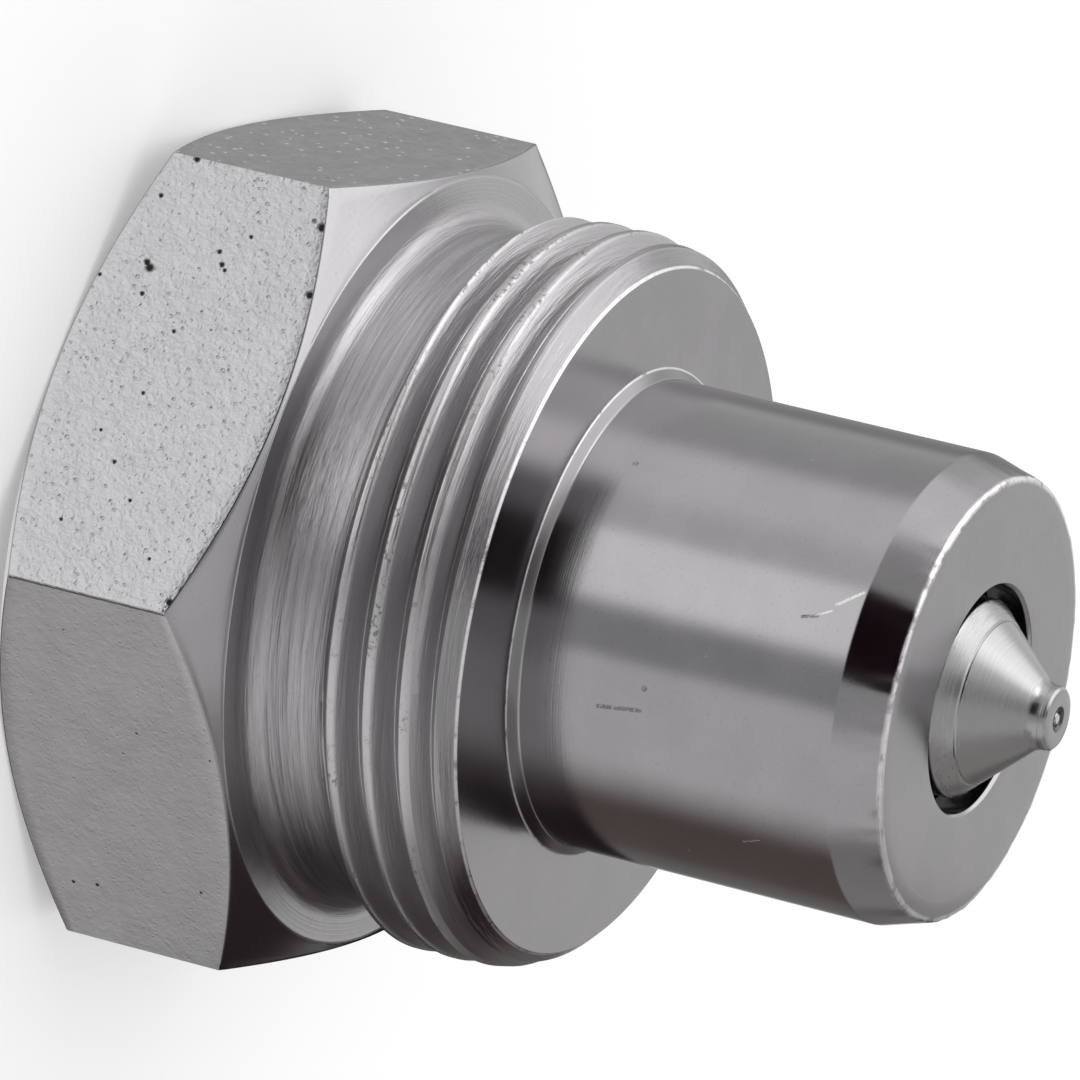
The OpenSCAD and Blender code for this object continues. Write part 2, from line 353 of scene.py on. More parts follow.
def scratches(finish, place, lines):
    """1 on any of some straight scratches, given as (start, end, half width)."""
    total = 0
    for start, end, width in lines:
        along = Vector(end) - Vector(start)
        offset = finish.add("ShaderNodeVectorMath", {"operation": "SUBTRACT"},
                            {0: place, 1: start})
        part = finish.add("ShaderNodeVectorMath", {"operation": "DOT_PRODUCT"},
                          {0: offset, 1: tuple(along / along.length_squared)}, 1)
        part = part.maths("ADD", part, 0, clamp=True)
        foot = finish.add("ShaderNodeVectorMath", {"operation": "SCALE"},
                          {0: tuple(along), "Scale": part})
        away = finish.add("ShaderNodeVectorMath", {"operation": "DISTANCE"},
                          {0: offset, 1: foot}, 1)
        total = total + (1 - away.rise(width * 0.3, width))
    return total.least(1)


# %% [markdown]
# ## Wear on the nose
# The nose has met the other half many times. Where it knocked against its rim there are small
# scars and gouges, and where grit was dragged along it, bright scratches. A knock crushes the
# plating and looks dark, a fresh scratch is bare steel and looks light.


# %% Wear on the nose
def on_nose(marks):
    """Lines on the nose's wall from (angle, height), (angle, height) and half a width."""
    return [(at_angle(nose_r, *start), at_angle(nose_r, *end), width)
            for start, end, width in marks]


NOSE_SCARS = [(at_angle(nose_r, *mark), size) for mark, size in (
    ((16.2, 25.0), 0.16), ((-37, 21.7), 0.16), ((62, 26.5), 0.15), ((5, 27.3), 0.08),
    ((-52, 28.2), 0.1))]
NOSE_GOUGES = on_nose((((23.2, 23.1), (21.8, 24.9), 0.12), ((-9, 30.8), (-10, 31.4), 0.08),
                       ((52, 29.2), (50, 29.9), 0.06)))
NOSE_SCRATCHES = on_nose((
    ((-13.6, 32.0), (-18, 32.9), 0.085), ((-10, 31.3), (-12, 31.9), 0.05)))
NOSE_SCRATCHES.append((at_angle(9.22, -73, 33.6), at_angle(9.17, -68, 33.8), 0.1))
print("marks on the nose:", len(NOSE_SCARS) + len(NOSE_GOUGES) + len(NOSE_SCRATCHES))


def worn_places(finish, place):
    """Masks of the scars and of the bright scratches, both broken up by a fine noise."""
    broken = finish.noise(place, 5.5, 3, 0.65)
    scars = spots(finish, place, NOSE_SCARS) * broken.rise(0.38, 0.56)
    gouges = scratches(finish, place, NOSE_GOUGES) * broken.rise(0.40, 0.50)
    shines = scratches(finish, place, NOSE_SCRATCHES) * broken.rise(0.30, 0.50)
    return scars.greatest(gouges), shines


# %% [markdown]
# ## Painted highlights on edges
# An edge reflects the lamps from a wide angle, so it looks lighter than the faces beside it. That
# highlight is painted into the colour of three edges: the rim of the nose, the eased corner at the
# foot of the nose and the inner edge of the collar's chamfer. Inside that eased corner the colour
# is darkened with painted shade.


# %% Edges of the turned faces
def painted_highlights_and_corner_shade(finish, place, z, radius):
    """Masks of the painted highlights on edges, and of the painted shade inside the nose's eased
    corner.
    """
    rim = radius.rise(front_r - 0.28, front_r - 0.10) * z.rise(nose_z - 0.22, nose_z - 0.06)
    rim = rim * (1 - radius.rise(front_r + 0.12, front_r + 0.24))
    corner_r, corner_z = nose_r + corner_size, collar_z + corner_size
    above_collar = z.rise(collar_z - 0.1, collar_z - 0.02)
    corner = near(radius, corner_r, 0.06) * above_collar * (1 - z.rise(collar_z, collar_z + 0.1))
    band = (1 - radius.rise(corner_r - 0.08, corner_r)) * (1 - z.rise(corner_z - 0.08, corner_z))
    inner_edge = near(radius, collar_face_r + 0.06, 0.07) * z.rise(collar_z - 0.6, collar_z - 0.3)
    patchy = finish.noise(place, 1.3, 3, 0.6).rise(0.28, 0.50)
    return rim.greatest(corner).greatest(inner_edge) * patchy, band * above_collar


# %% [markdown]
# ## The plating itself
# Below the collar the part was turned with a coarser feed, so rings and streaks are stronger
# there. The thread's crests are worn light and nicked. On the collar's chamfer the tool left waves.
# The colours go from the plain faces to the marks, each laid over the ones before it.

# %% Turned plating
PLATE_DARK, PLATE_LIGHT = (0.296, 0.287, 0.296), (0.316, 0.306, 0.316)
STREAK, THREAD, CREST = (0.385, 0.375, 0.385), (0.365, 0.355, 0.365), (0.50, 0.49, 0.50)
FACED, NICK, SCAR = (0.43, 0.42, 0.43), (0.14, 0.14, 0.14), (0.11, 0.105, 0.11)
SHINE, WAVE, CHAMFER = (0.75, 0.75, 0.75), (0.20, 0.195, 0.20), (0.25, 0.243, 0.25)
# The corner colour below is painted shade, and the edge colour is a painted highlight.
CORNER_SHADE, EDGE_HIGHLIGHT, GRAIN = (0.19, 0.185, 0.19), (0.78, 0.76, 0.78), (0.20, 0.195, 0.20)


def turned_plating():
    finish = Finish("turned_plating", Metallic=1.0)
    place, x, y, z, radius = turned_places(finish)
    outline = finish.add("ShaderNodeCombineXYZ", None, {0: radius * 9, 1: z * 9, 2: x * 0.05})
    rings = finish.noise(outline, 1.0, 4, 0.7)
    smeared = finish.add("ShaderNodeCombineXYZ", None, {0: x * 0.14, 1: y * 0.14, 2: z * 3.6})
    streaks = finish.noise(smeared, 1.0, 4, 0.65)
    blotches = finish.noise(place, 0.35, 3, 0.6)
    grain = finish.noise(place, 7.0, 2, 0.6)

    below_collar = (1 - z.rise(chamfer_z - 0.15, chamfer_z + 0.15)) * (
        1 - radius.rise(hex_face_r - 0.08, hex_face_r + 0.05))
    facing = below_collar * radius.rise(neck_r + 0.4, neck_r + 0.7) * (
        1 - z.rise(hex_len + 0.1, hex_len + 0.3))
    on_thread = below_collar * radius.rise(root_r - 0.075, root_r + 0.025) * z.rise(
        thread_low_z - 0.1, thread_low_z + 0.1)
    crest = on_thread * radius.rise(crest_r - 0.145, crest_r - 0.025)
    worn = finish.noise(place, 0.35, 2, 0.5).rise(0.46, 0.6)
    nicks = crest * worn * finish.noise(place, 4.5, 3, 0.65).rise(0.52, 0.62)
    scars, shines = worn_places(finish, place)
    edges, corner_shade = painted_highlights_and_corner_shade(finish, place, z, radius)
    on_chamfer = z.rise(chamfer_z - 0.05, chamfer_z + 0.1) * (
        1 - z.rise(collar_z - 0.1, collar_z - 0.02)) * radius.rise(
            collar_face_r - 0.38, collar_face_r - 0.08)
    chamfer_place = finish.add("ShaderNodeCombineXYZ", None, {0: x * 0.3, 1: y * 0.3, 2: z * 9})
    waves = finish.noise(chamfer_place, 1.0, 3, 0.6) * on_chamfer
    near_corner = 1 - z.rise(collar_z + 0.9, collar_z + 2.9)
    front_face = z.rise(nose_z - 0.06, nose_z - 0.02)

    colour = finish.mix(blotches.rise(0.35, 0.7), PLATE_DARK, PLATE_LIGHT)
    # Of these, the corner's band is painted shade and the edges' colour is a painted highlight.
    for mask, shade in (
            (streaks.rise(0.38, 0.62) * below_collar, STREAK), (on_thread, THREAD),
            (crest * 0.8, CREST), (facing, FACED), (nicks * 0.75, NICK), (scars * 0.55, SCAR),
            (shines * 0.8, SHINE), (waves.rise(0.50, 0.62) * 0.6, WAVE),
            (on_chamfer * 0.7, CHAMFER), (corner_shade * 0.9, CORNER_SHADE), (edges * 0.8, EDGE_HIGHLIGHT),
            (grain.rise(0.60, 0.70) * 0.25, GRAIN)):
        colour = finish.mix(mask, colour, shade)
    rough = (0.09 + 0.07 * blotches + 0.04 * rings + below_collar * (0.08 + 0.10 * streaks)
             + 0.2 * scars + 0.25 * shines + 0.2 * edges + 0.06 * near_corner
             + 0.10 * front_face)
    height = (rings * (0.8 + 1.0 * below_collar + 3 * facing)
              + streaks * below_collar * (17 - 4 * on_thread)
              + grain * 0.2 + waves * 9 - nicks * 3 - scars * 3)
    return finish.done(Base_Color=colour, Roughness=rough, Normal=finish.bump(height, 0.004 * MM))


turned_material = turned_plating()

# %% [markdown]
# ## The hexagon's flats
# The flats are as forged: a skin of low swells and small pimples under the plating, with a few
# dark pits. The swells are two sizes of noise as a bump. Pimples, dents, specks and pits are the
# cores of cell patterns, so they are round and of different size. The pimples' colour is a painted
# highlight, the dents' painted shade and the specks' painted glints. The flats aren't alike: the
# one towards the camera is the roughest, the one on its left has raised specks with painted glints,
# the rest are smoother.

# %% Pitted flats
FLAT_DARK, FLAT_LIGHT = (0.432, 0.427, 0.442), (0.467, 0.462, 0.475)
# The dent colour is painted shade, the pimple colour a painted highlight, the fleck colour painted
# glints.
DENT_SHADE, MOTTLE, PIMPLE_HIGHLIGHT = (0.24, 0.24, 0.24), (0.30, 0.30, 0.31), (0.62, 0.62, 0.63)
FLECK_GLINT, PIT = (0.90, 0.90, 0.90), (0.025, 0.025, 0.025)


def dot_cells(finish, place, scale, share, small, large):
    """Round dots in a share of the cells of a pattern, from small to large in parts of a cell."""
    cells = finish.add("ShaderNodeTexVoronoi", None, {"Vector": place, "Scale": scale})
    chance = Value(finish, cells.socket.node.outputs["Color"])
    size = small + (large - small) * (chance - share).greatest(0) / (1 - share)
    return (1 - (cells / size).rise(0.45, 1)) * chance.rise(share, share + 0.02)


def pitted_flats():
    finish = Finish("pitted_flats", Metallic=1.0)
    place, x, y = turned_places(finish)[:3]
    wide = finish.noise(place, 0.6, 3, 0.6)
    peel = finish.noise(place, 6.5, 2, 0.5)
    swells = finish.noise(place, 2.4, 2, 0.5)
    across, along = x * math.cos(math.pi / 6), y * math.sin(math.pi / 6)
    pitted_side = (across + along).rise(apothem - 0.15, apothem - 0.05)
    speckled_side = (across - along).rise(apothem - 0.15, apothem - 0.05)
    relief = 0.22 + 0.78 * pitted_side + 0.3 * speckled_side
    dents = dot_cells(finish, place, 2.8, 0.30, 0.10, 0.36)
    flecks_and_glints = dot_cells(finish, place, 1.7, 0.15, 0.10, 0.30)
    pimples = dot_cells(finish, place, 3.4, 0.25, 0.12, 0.42)
    mottle = finish.noise(place, 2.0, 4, 0.7).rise(0.45, 0.62) * speckled_side
    pits = dot_cells(finish, place, 0.8, 0.66, 0.05, 0.17)
    pits = pits.greatest(spots(finish, place, FORGING_PITS))
    colour = finish.mix(wide.rise(0.3, 0.7), FLAT_DARK, FLAT_LIGHT)
    # The dents get painted shade, the pimples a painted highlight and the flecks painted glints.
    for mask, shade in (
            (dents * relief * 0.35, DENT_SHADE), (mottle * 0.4, MOTTLE),
            (pimples * pitted_side * 0.12, PIMPLE_HIGHLIGHT),
            (flecks_and_glints * (0.05 + 0.85 * speckled_side), FLECK_GLINT), (pits, PIT)):
        colour = finish.mix(mask, colour, shade)
    rough = 0.30 + 0.08 * wide + 0.2 * pits
    skin = peel * 1.7 + swells * 2.6 + wide * 1.6 + pimples * 0.8 - dents * 1.8
    height = skin * relief + flecks_and_glints * 1.8 * speckled_side - pits * 4
    return finish.done(Base_Color=colour, Roughness=rough, Normal=finish.bump(height, 0.014 * MM))


def on_flat(along, z):
    """A point on the flat nearest the camera, from its middle line and height in millimetres."""
    facing = Vector((math.cos(math.radians(30)), math.sin(math.radians(30)), 0))
    return tuple(facing * apothem + Vector((-facing.y, facing.x, 0)) * along + Vector((0, 0, z)))


FORGING_PITS = [(on_flat(*mark), size) for mark, size in (
    ((-4.3, 2.4), 0.24), ((-4.5, 2.2), 0.18), ((-7.3, 1.7), 0.13), ((-5.6, 5.0), 0.13),
    ((-5.1, 5.3), 0.15), ((-4.9, 5.5), 0.11), ((-3.2, 2.5), 0.13), ((-2.0, 4.4), 0.11),
    ((-9.1, 2.6), 0.18), ((-7.5, 8.8), 0.26), ((-4.7, 9.35), 0.22), ((8.7, 8.5), 0.22),
    ((2.6, 3.0), 0.09), ((5.1, 5.3), 0.1), ((6.5, 2.8), 0.1), ((7.2, 7.0), 0.09))]
flat_material = pitted_flats()
print("pits placed by hand:", len(FORGING_PITS))

# %% [markdown]
# ## The outer thread
# A thread is one small outline wound round a cylinder while it climbs. Spinning the outline with
# a lift at each step does just that: after a full turn it has climbed one pitch and meets its own
# neighbour. The strip is then cut off at both ends, and every point is held inside the blank, the
# bar that the thread was cut into, so the grooves run out through its chamfers as real ones do.


# %% Winding a thread
def ring_at(points, z):
    """Radius of an outline of (radius, height) points at a height."""
    for (r0, z0), (r1, z1) in zip(points, points[1:]):
        if z0 <= z <= z1:
            return r0 + (r1 - r0) * (z - z0) / (z1 - z0)
    return points[0][0] if z < points[0][1] else points[-1][0]


def wind_thread(form, first_z, step_z, low_z, high_z, cuts, steps):
    """Wind a thread form of (part of a pitch, radius) points, trimmed to low_z and high_z."""
    turns_below = math.ceil((first_z - low_z) / step_z) + 2
    turns = math.ceil((high_z - low_z) / step_z) + 5
    start = first_z - turns_below * step_z
    outline = [(r, start + (turn + part) * step_z) for turn in range(turns) for part, r in form]
    bm = spin_outline(outline, steps, step_z)
    for z, clear in [(low_z, "below"), (high_z, "above")] + [(z, None) for z in cuts]:
        bmesh.ops.bisect_plane(bm, geom=bm.verts[:] + bm.edges[:] + bm.faces[:], dist=1e-9,
                               plane_co=(0, 0, z * MM), plane_no=(0, 0, 1),
                               clear_outer=clear == "above", clear_inner=clear == "below")
    return bm


def hold_inside(bm, blank, low_z, high_z, steps, inner=False):
    """Keep a wound thread inside its blank, and put its end rings on the spun outline's rings."""
    part = 2 * math.pi / steps
    for vert in bm.verts:
        z, angle = vert.co.z / MM, math.atan2(vert.co.y, vert.co.x)
        radius = math.hypot(vert.co.x, vert.co.y) / MM
        limit = ring_at(blank, z)
        radius = max(radius, limit) if inner else min(radius, limit)
        if min(abs(z - low_z), abs(z - high_z)) < 1e-4:
            angle, radius = round(angle / part) * part, limit
        vert.co.x, vert.co.y = radius * MM * math.cos(angle), radius * MM * math.sin(angle)
    bmesh.ops.remove_doubles(bm, verts=bm.verts, dist=0.001 * MM)


def half_then_mirrored(half):
    """A thread form from its lower half, given from the groove's centre to the crest's."""
    return half + [(1 - part, r) for part, r in reversed(half[1:-1])]


# %% [markdown]
# ## Cut the outer thread
# The groove is a V of 60 degrees with a flat bottom, and the crests are rounded by rolling. The
# first turns fade out on the neck's side, the last ones on the taper towards the collar's chamfer.

# %% Outer thread
body_steps = 384
form = half_then_mirrored([
    (0, root_r), (0.012, root_r + 0.006), (0.035, root_r + 0.04), (0.09, root_r + 0.16),
    (0.225, root_r + 0.48), (0.345, crest_r - 0.13), (0.375, crest_r - 0.06),
    (0.405, crest_r - 0.018), (0.435, crest_r), (0.5, crest_r)])
blank = [(neck_top_r, thread_low_z), (crest_r, thread_full_z), (crest_r, taper_z),
         (taper_r, chamfer_z), (collar_face_r, collar_z)]
thread = wind_thread(form, groove_first_z, pitch, thread_low_z, collar_z,
                     (thread_full_z, taper_z, chamfer_z), body_steps)
hold_inside(thread, blank, thread_low_z, collar_z, body_steps)
print("outer thread:", len(thread.faces), "faces")

# %% [markdown]
# ## The port's thread
# The rear port is tapped with a fine tapered pipe thread, cut outwards from the drilled bore. It
# only shows from behind and below, but a bare bore there would look like a blank. It is wound in
# the same way, and held outside the bore and its countersink.

# %% Port thread
port_r, port_mouth_r, port_pitch = 7.35, 8.7, 25.4 / 18
port_low_z, port_high_z = 0.3, 11.2
port_root_r = 8.5
port_form = half_then_mirrored([
    (0, port_root_r), (0.07, port_root_r - 0.05), (0.42, port_root_r - 1.0),
    (0.5, port_root_r - 1.05)])
port_blank = [(port_mouth_r - port_low_z, port_low_z), (port_r, port_mouth_r - port_r),
              (port_r, port_high_z)]
port_thread = wind_thread(port_form, 0.4, port_pitch, port_low_z, port_high_z,
                          (port_mouth_r - port_r, 9.2), body_steps)
for vert in port_thread.verts:
    z = vert.co.z / MM
    scale = (1 - z / 32 / port_root_r) * (1 - 0.14 * min(1, max(0, (z - 9.2) / 2)))
    vert.co.x, vert.co.y = vert.co.x * scale, vert.co.y * scale
hold_inside(port_thread, port_blank, port_low_z, port_high_z, body_steps, inner=True)
print("port thread:", len(port_thread.faces), "faces")

# %% [markdown]
# ## The body's outline
# The rest of the body is two outlines. One runs from the neck down over the hexagon to the port's
# mouth, the other from the end of the port's thread through the valve chamber, the seat and the
# mouth, over the nose and out across the collar face. Both meet the threads ring for ring. The
# neck is a relief for the tool: it ends in a hollow curve at each side.

# %% Spin the body
hex_corner_r = apothem / math.cos(math.pi / 6)
hex_drop = (hex_corner_r - hex_face_r) * hex_slope
run_out = [(neck_r + run_out_r * (1 - math.cos(math.radians(turn))),
            neck_top_z + run_out_r * math.sin(math.radians(turn))) for turn in (20, 13, 6, 0)]
foot = [(neck_r + neck_foot * (1 - math.cos(math.radians(turn))),
         hex_len + neck_foot * (1 - math.sin(math.radians(turn)))) for turn in range(0, 91, 10)]
outside = eased([(neck_top_r, thread_low_z)] + run_out + foot
                + [(hex_face_r, hex_len, 0.08)]
                + run((16.2, hex_len - 0.5 * hex_slope), (hex_corner_r, hex_len - hex_drop), 3)
                + run((hex_corner_r, hex_len - hex_drop), (hex_corner_r, hex_drop), 16)
                + run((hex_corner_r, hex_drop), (hex_face_r, 0), 4)
                + [(hex_face_r, 0, 0.08), (port_mouth_r, 0, 0.1),
                   (port_mouth_r - port_low_z, port_low_z)])
chamber_r, port_end_z, groove_z, groove_high_z = 6.4, 12.5, 13.3, 14.4
seat_z, seat_top_z, mouth_r = 31.625, nose_z - 1.6, 4.575
inside = eased([(port_r, port_high_z), (port_r, port_end_z - 0.95, 0.1),
                (chamber_r, port_end_z, 0.1), (chamber_r, groove_z, 0.05),
                (chamber_r + 0.6, groove_z), (chamber_r + 0.6, groove_high_z),
                (chamber_r, groove_high_z, 0.05), (chamber_r, seat_z),
                (mouth_r, seat_top_z, 0.08), (mouth_r, nose_z - 0.12, 0.03),
                (mouth_r + 0.12, nose_z, 0.03)]
               + run((5.4, nose_z), (front_r, nose_z), 4)
               + [(front_r, nose_z, 0.19), (nose_r - 0.3, nose_z - 1), (nose_r, lead_in_z, 0.1)]
               + run((nose_r, lead_in_z - 0.4), (nose_r, collar_z + 1), 12)
               + [(nose_r, collar_z + corner_size, 0.07),
                  (nose_r + corner_size, collar_z, 0.07), (10.6, collar_z), (12, collar_z),
                  (13.2, collar_z), (collar_face_r, collar_z)], 4)
body = spin_outline(outside, body_steps)
join(body, spin_outline(inside, body_steps))
print("spun outline:", len(body.faces), "faces")

# %% [markdown]
# ## From round to hexagon
# The hexagon was spun as a drum as wide as its corners, with the two chamfer cones on it. Each of
# its points is now drawn in to the nearest flat, and the chamfer's edge slides along its cone.
# That gives the curved lines where the cones cut the flats, which every turned hexagon has.


# %% Shape the hexagon
def flat_reach(angle):
    """Distance from the axis to the hexagon's wall in a direction."""
    third = math.pi / 3
    return apothem / math.cos(angle % third - third / 2)


for vert in body.verts:
    radius, z = math.hypot(vert.co.x, vert.co.y) / MM, vert.co.z / MM
    if radius < hex_face_r + 1e-4 or z > hex_len:
        continue
    wall = flat_reach(math.atan2(vert.co.y, vert.co.x))
    drop = (wall - hex_face_r) * hex_slope
    middle = hex_len / 2
    if radius > hex_corner_r - 1e-4:
        new_radius = wall
        new_z = middle + (z - middle) / (middle - hex_drop) * (middle - drop)
    else:
        part = (radius - hex_face_r) / (hex_corner_r - hex_face_r)
        new_radius = hex_face_r + part * (wall - hex_face_r)
        off_cone = abs(z - middle) - (middle - (radius - hex_face_r) * hex_slope)
        new_z = middle + math.copysign(
            middle - (new_radius - hex_face_r) * hex_slope + off_cone, z - middle)
    scale = new_radius / radius
    vert.co.x, vert.co.y, vert.co.z = vert.co.x * scale, vert.co.y * scale, new_z * MM

# %% [markdown]
# ## Edges of the hexagon
# The corners between two flats are blunt on a real hexagon. They were made above, so here a bevel
# is the simplest way. It only takes the edges where two flats meet at a clear angle.


# %% Ease the hexagon's edges
def on_wall(vert):
    reach = flat_reach(math.atan2(vert.co.y, vert.co.x))
    radius = math.hypot(vert.co.x, vert.co.y) / MM
    return vert.co.z / MM < hex_len and abs(radius - reach) < 1e-3


wall_edges = []
for edge in body.edges:
    if len(edge.link_faces) == 2 and on_wall(edge.verts[0]) and on_wall(edge.verts[1]):
        if edge.calc_face_angle() > math.radians(15):
            wall_edges.append(edge)
bmesh.ops.bevel(body, geom=wall_edges, offset=0.09 * MM, offset_type="OFFSET", segments=2,
                profile=0.5, affect="EDGES", clamp_overlap=True, material=-1)
print("eased edges of the hexagon:", len(wall_edges))

# %% [markdown]
# ## Uneven rim
# The nose's rim was broken with a file or a brush, not turned, and it has been knocked since. It
# wanders by a few hundredths of a millimetre, which shows only in how the light runs along it. The
# waves are whole numbers of turns, so that they close.

# %% Uneven rim
RIM_WAVES = ((0.5, 7, 1), (0.6, 19, 4), (0.4, 43, 0), (0.3, 71, 2))
rim_swing, rim_reach, rim_fade = 0.03, 0.35, 0.3
moved = 0
for vert in body.verts:
    radius, z = math.hypot(vert.co.x, vert.co.y), vert.co.z / MM
    if z > nose_z - rim_reach and abs(radius / MM - front_r) < 0.2:
        angle = math.atan2(vert.co.y, vert.co.x)
        wave = sum(size * math.sin(count * angle + phase) for size, count, phase in RIM_WAVES)
        held = min(1, (z - nose_z + rim_reach) / rim_fade)
        scale = 1 + rim_swing * MM * wave * held / radius
        vert.co.x, vert.co.y = vert.co.x * scale, vert.co.y * scale
        moved += 1
print("points of the rim:", moved)

# %% [markdown]
# ## One closed skin
# Both threads end on the rings of the spun outline, so the open edges lie on each other in pairs.
# Merging them closes the body, and the count of open edges has to be 0.

# %% Join the threads to the body
join(body, thread)
join(body, port_thread)
bmesh.ops.remove_doubles(body, verts=[vert for vert in body.verts if vert.is_boundary],
                         dist=0.01 * MM)
print("open edges of the body:", open_edges(body))

# %% [markdown]
# ## Two finishes on one piece
# Only the six flats keep the forged skin, the chamfers are turned. A face is part of a flat when it
# stands upright and lies on the hexagon's wall.


# %% Give the flats their own finish
def is_flat(face):
    centre = face.calc_center_median()
    off_wall = math.hypot(centre.x, centre.y) / MM - flat_reach(math.atan2(centre.y, centre.x))
    return abs(face.normal.z) < 0.2 and abs(off_wall) < 0.02 and centre.z / MM < hex_len


for face in body.faces:
    face.material_index = 1 if is_flat(face) else 0
body_piece = finish_piece(body, "coupler_body", [turned_material, flat_material])
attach(body_piece, "root")
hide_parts("body")

# %% [markdown]
# ## The poppet
# The valve's poppet is turned from bright steel: a pin that fills the mouth, a short bevel, a cone
# and a small tip with the lathe's centre mark. When two halves are screwed together the tips push
# each other open. Its hidden end has the sealing cone with the groove of the soft seal, the
# spigot that centres the spring, and the stem that runs in the guide.

# %% Bright turned steel
def bright_turned():
    finish = Finish("bright_turned", Metallic=1.0)
    x, y, z, radius = turned_places(finish)[1:]
    outline = finish.add("ShaderNodeCombineXYZ", None, {0: radius * 14, 1: z * 14, 2: x * 0.1})
    rings = finish.noise(outline, 1.0, 3, 0.6)
    rubbed = finish.add("ShaderNodeCombineXYZ", None, {0: x * 0.9, 1: y * 0.9, 2: radius * 9})
    rubs = finish.noise(rubbed, 1.0, 3, 0.6).rise(0.52, 0.66) * radius.rise(3.0, 3.4)
    colour = finish.mix(rings, (0.305, 0.30, 0.305), (0.345, 0.34, 0.345))
    # The centre mark's hollow ring is darkened with painted shade, and its raised middle is
    # lightened with a painted highlight.
    mark = z.rise(38.0, 38.1) * (1 - radius.rise(0.48, 0.56))
    colour = finish.mix(mark * radius.rise(0.22, 0.27), colour, (0.09, 0.085, 0.09))
    colour = finish.mix(mark * (1 - radius.rise(0.14, 0.20)), colour, (0.60, 0.60, 0.60))
    return finish.done(Base_Color=colour, Roughness=0.20 + 0.08 * rings + 0.1 * rubs,
                       Normal=finish.bump(rings + rubs * 0.9, 0.006 * MM))


bright_material = bright_turned()

# %% [markdown]
# ## Turn the poppet
# The groove of the seal is cut square to the sealing cone, so its corners are given along the cone
# and out from it. The short hollow below the tip is a quarter of a circle or less, from the cone's
# angle to upright.

# %% Spin the poppet
low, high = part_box("poppet")
tip_z, stem_z = high[2] / MM, low[2] / MM
pin_r, tip_r, head_r, stem_r, spigot_r, stop_r = 4, 1.3, 5.7, 1.75, 3.3, 2.4
head_top_z, head_edge_z, head_base_z = 33.813, 32.113, 29.913
spigot_z, stop_z = head_base_z - 1.6, 20.7
step_r, step_z = 3.3, nose_z + 0.45


def on_head_cone(along, out):
    """A point given along the sealing cone from the pin, and square to it."""
    part = math.sqrt(0.5)
    return pin_r + part * (along + out), head_top_z + part * (out - along)


groove = [on_head_cone(*point) for point in
          ((2.062, 0), (2.062, -1.09), (0.342, -1.09), (0.342, 0))]
hollow_r, hollow_z, cone_angle = 0.8, tip_z - 0.3, math.radians(41)
hollow = [(tip_r + hollow_r - hollow_r * math.cos(cone_angle * part),
           hollow_z - hollow_r * math.sin(cone_angle * part)) for part in (1, 0.75, 0.5, 0.25, 0)]
poppet_outline = eased([
    (0, stem_z), (stem_r, stem_z, 0.25), (stem_r, stop_z, 0.05), (stop_r, stop_z, 0.15),
    (stop_r, spigot_z, 0.1), (spigot_r, spigot_z, 0.3), (spigot_r, head_base_z, 0.1),
    (head_r, head_base_z, 0.15), (head_r, head_edge_z, 0.1), (*groove[0], 0.04), groove[1],
    groove[2], (*groove[3], 0.04), (pin_r, head_top_z, 0.1), (pin_r, nose_z - 0.3, 0.08),
    (step_r + 0.05, step_z - 0.05, 0.02), (step_r - 0.03, step_z - 0.01, 0.02),
    (step_r - 0.04, step_z + 0.05, 0.02), *hollow, (tip_r, tip_z, 0.26), (0.5, tip_z, 0.04),
    (0.42, tip_z - 0.12, 0.04), (0.28, tip_z - 0.12, 0.04), (0.2, tip_z - 0.03, 0.04),
    (0, tip_z - 0.02)])
poppet = spin_outline(poppet_outline, 192)
print("open edges of the poppet:", open_edges(poppet))
poppet_piece = finish_piece(poppet, "valve_poppet", [bright_material])
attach(poppet_piece, "poppet")
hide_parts("poppet")

# %% [markdown]
# ## The return spring
# The spring is one round wire wound between the guide and the poppet's head, with a closed turn
# at each end, where neighbouring turns touch. It is wound as the thread was, from a small circle,
# but its pitch changes along the way, so each ring of the wire is lifted to its own height.

# %% Spring wire
def spring_finish():
    finish = Finish("drawn_wire", Metallic=1.0)
    place = millimetres(finish)
    drawn = finish.noise(place, 3.0, 3, 0.6)
    colour = finish.mix(drawn, (0.24, 0.24, 0.245), (0.30, 0.30, 0.305))
    return finish.done(Base_Color=colour, Roughness=0.3 + 0.1 * drawn,
                       Normal=finish.bump(drawn, 0.003 * MM))


wire_r, coil_r, coil_turns, wire_sides, turn_steps = 0.45, 3.85, 6, 12, 48
coil_low_z, coil_high_z, closed_pitch = 17.95, head_base_z - 0.55, 0.927


def wire_height(turn):
    """Height of the wire's centre after so many turns."""
    open_pitch = (coil_high_z - coil_low_z - 2 * closed_pitch) / (coil_turns - 2)
    if turn < 1:
        return coil_low_z + turn * closed_pitch
    if turn > coil_turns - 1:
        return coil_high_z - (coil_turns - turn) * closed_pitch
    return coil_low_z + closed_pitch + (turn - 1) * open_pitch


spring = bmesh.new()
ring = bmesh.ops.create_circle(spring, cap_ends=False, segments=wire_sides, radius=wire_r * MM)
for vert in ring["verts"]:
    vert.co = (coil_r * MM + vert.co.x, 0, vert.co.y)
ring_edges = spring.edges[:]
bmesh.ops.spin(spring, geom=ring["verts"] + ring_edges, cent=(0, 0, 0), axis=(0, 0, 1),
               angle=2 * math.pi * coil_turns, steps=coil_turns * turn_steps, use_merge=False)
spring.verts.ensure_lookup_table()
for index, vert in enumerate(spring.verts):
    vert.co.z += wire_height(index // wire_sides / turn_steps) * MM
bmesh.ops.holes_fill(spring, edges=[edge for edge in spring.edges if edge.is_boundary], sides=0)
print("open edges of the spring:", open_edges(spring))
spring_piece = finish_piece(spring, "return_spring_wire", [spring_finish()], sharp=50)
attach(spring_piece, "root")
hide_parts("return_spring")
